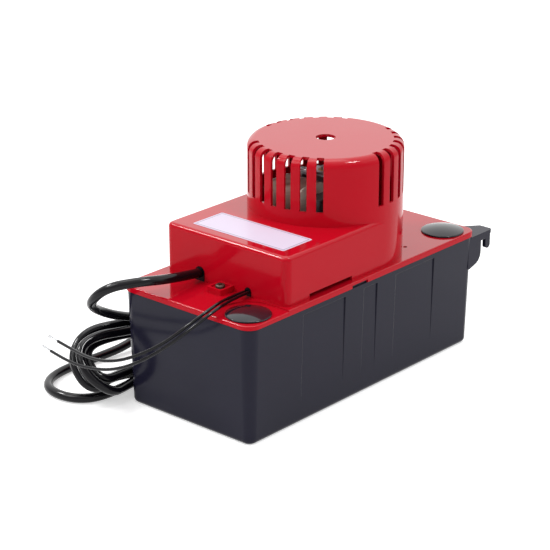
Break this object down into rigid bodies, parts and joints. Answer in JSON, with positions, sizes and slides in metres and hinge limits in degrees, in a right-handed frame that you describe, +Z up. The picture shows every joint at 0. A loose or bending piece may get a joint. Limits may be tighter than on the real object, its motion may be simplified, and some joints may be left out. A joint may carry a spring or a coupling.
{
  "type": "condensate pump",
  "caption": "Tank condensate pump: black tank with hanging ears, red lid and slotted motor cover, float switches, check valve, mains cord and alarm leads.",
  "frame": {"origin": "centre of the tank's flat bottom, on the surface that it stands on", "axes": "+Z up; +X along the tank towards the end with the hanging ears; -Y towards the long side with the two inlet plugs"},
  "size_m": [0.3241, 0.1987, 0.1782],
  "materials": {
    "red_plastic": "glossy moulded",
    "black_plastic": "glossy moulded",
    "plug_plastic": "glossy moulded",
    "label_film": "satin film",
    "steel": "plated",
    "lamination_steel": "stacked sheet",
    "bronze": "plain",
    "copper": "bare wire",
    "winding_tape": "taped",
    "nylon": "moulded",
    "grey_plastic": "moulded",
    "switch_plastic": "moulded",
    "clear_vinyl": "flexible tube",
    "float_foam": "hollow moulding",
    "cord_rubber": "smooth sheath",
    "tinned_wire": "tinned strands"
  },
  "bodies": {
    "pump_body": {"tank": "black_plastic", "deck": "red_plastic", "motor_cover": "red_plastic", "rating_label": "label_film", "cover_screw": "steel", "mains_bush": "cord_rubber", "lead_bush": "cord_rubber", "stator_laminations": "lamination_steel", "coil_bobbin": "nylon", "taped_winding": "winding_tape", "upper_bearing_bracket": "steel", "lower_bearing_bracket": "steel", "upper_bearing_bush": "bronze", "lower_bearing_bush": "bronze", "motor_screws": "steel", "shading_rings": "copper", "pump_column": "grey_plastic", "column_screws": "steel", "volute_housing": "grey_plastic", "intake_strainer": "grey_plastic", "discharge_tube": "clear_vinyl", "check_valve_body": "grey_plastic", "valve_gasket": "cord_rubber", "valve_nut": "grey_plastic", "poppet_spring": "steel", "discharge_spigot": "grey_plastic", "float_bracket": "grey_plastic", "float_pivot_pin": "steel", "run_switch": "switch_plastic", "safety_switch": "switch_plastic", "switch_bracket": "steel", "switch_bolt": "steel", "bracket_screws": "steel", "mains_cord": "cord_rubber", "mains_cord_tail": "cord_rubber", "mains_cord_coil": "cord_rubber", "alarm_lead_1": "cord_rubber", "alarm_lead_1_end": "tinned_wire", "alarm_lead_2": "cord_rubber", "alarm_lead_2_end": "tinned_wire", "plug_body": "cord_rubber", "plug_pins": "bronze"},
    "rotor": {"motor_shaft": "steel", "rotor_core": "lamination_steel", "cooling_fan": "nylon", "impeller": "nylon"},
    "float": {"float": "float_foam", "float_arm": "nylon"},
    "push_rod": {"push_rod": "nylon"},
    "run_lever": {"run_switch_lever": "steel"},
    "safety_lever": {"safety_switch_lever": "steel"},
    "run_plunger": {"run_switch_plunger": "nylon"},
    "safety_plunger": {"safety_switch_plunger": "nylon"},
    "poppet": {"valve_poppet": "bronze"},
    "front_inlet_plug": {"inlet_plug_front": "plug_plastic"},
    "rear_inlet_plug": {"inlet_plug_rear": "plug_plastic"}
  },
  "joints": [
    {"name": "motor_spin", "type": "hinge", "parent": "pump_body", "child": "rotor", "pos_m": [0.0221, 0, 0.134], "axis": [0, 0, 1], "continuous": true},
    {"name": "float_swing", "type": "hinge", "parent": "pump_body", "child": "float", "pos_m": [-0.014, 0, 0.072], "axis": [0, 1, 0], "range_deg": [0, 24]},
    {"name": "push_rod_lift", "type": "slide", "parent": "pump_body", "child": "push_rod", "axis": [0, 0, 1], "range_m": [0, 0.00797]},
    {"name": "run_lever_swing", "type": "hinge", "parent": "pump_body", "child": "run_lever", "pos_m": [-0.052, 0.00615, 0.10632], "axis": [0, -1, 0], "range_deg": [0, 20.6]},
    {"name": "safety_lever_swing", "type": "hinge", "parent": "pump_body", "child": "safety_lever", "pos_m": [-0.052, -0.00615, 0.10632], "axis": [0, -1, 0], "range_deg": [0, 20.6]},
    {"name": "run_plunger_press", "type": "slide", "parent": "pump_body", "child": "run_plunger", "axis": [0, 0, 1], "range_m": [0, 0.00115]},
    {"name": "safety_plunger_press", "type": "slide", "parent": "pump_body", "child": "safety_plunger", "axis": [0, 0, 1], "range_m": [0, 0.00115]},
    {"name": "poppet_lift", "type": "slide", "parent": "pump_body", "child": "poppet", "axis": [0, 0, 1], "range_m": [0, 0.004], "stiffness_N_per_m": 30, "springref_m": -0.001, "deforming": ["poppet_spring"]},
    {"name": "front_inlet_plug_pull", "type": "slide", "parent": "pump_body", "child": "front_inlet_plug", "axis": [0, 0, 1], "range_m": [0, 0.025]},
    {"name": "rear_inlet_plug_pull", "type": "slide", "parent": "pump_body", "child": "rear_inlet_plug", "axis": [0, 0, 1], "range_m": [0, 0.025]}
  ],
  "couplings": [
    {"joint": "push_rod_lift", "follows": "float_swing", "m_per_rad": 0.019},
    {"joint": "run_lever_swing", "follows": "float_swing", "ratio": 0.85417},
    {"joint": "safety_lever_swing", "follows": "float_swing", "ratio": 0.85417},
    {"joint": "run_plunger_press", "follows": "float_swing", "m_per_rad": 0.0027},
    {"joint": "safety_plunger_press", "follows": "float_swing", "m_per_rad": 0.0027}
  ]
}
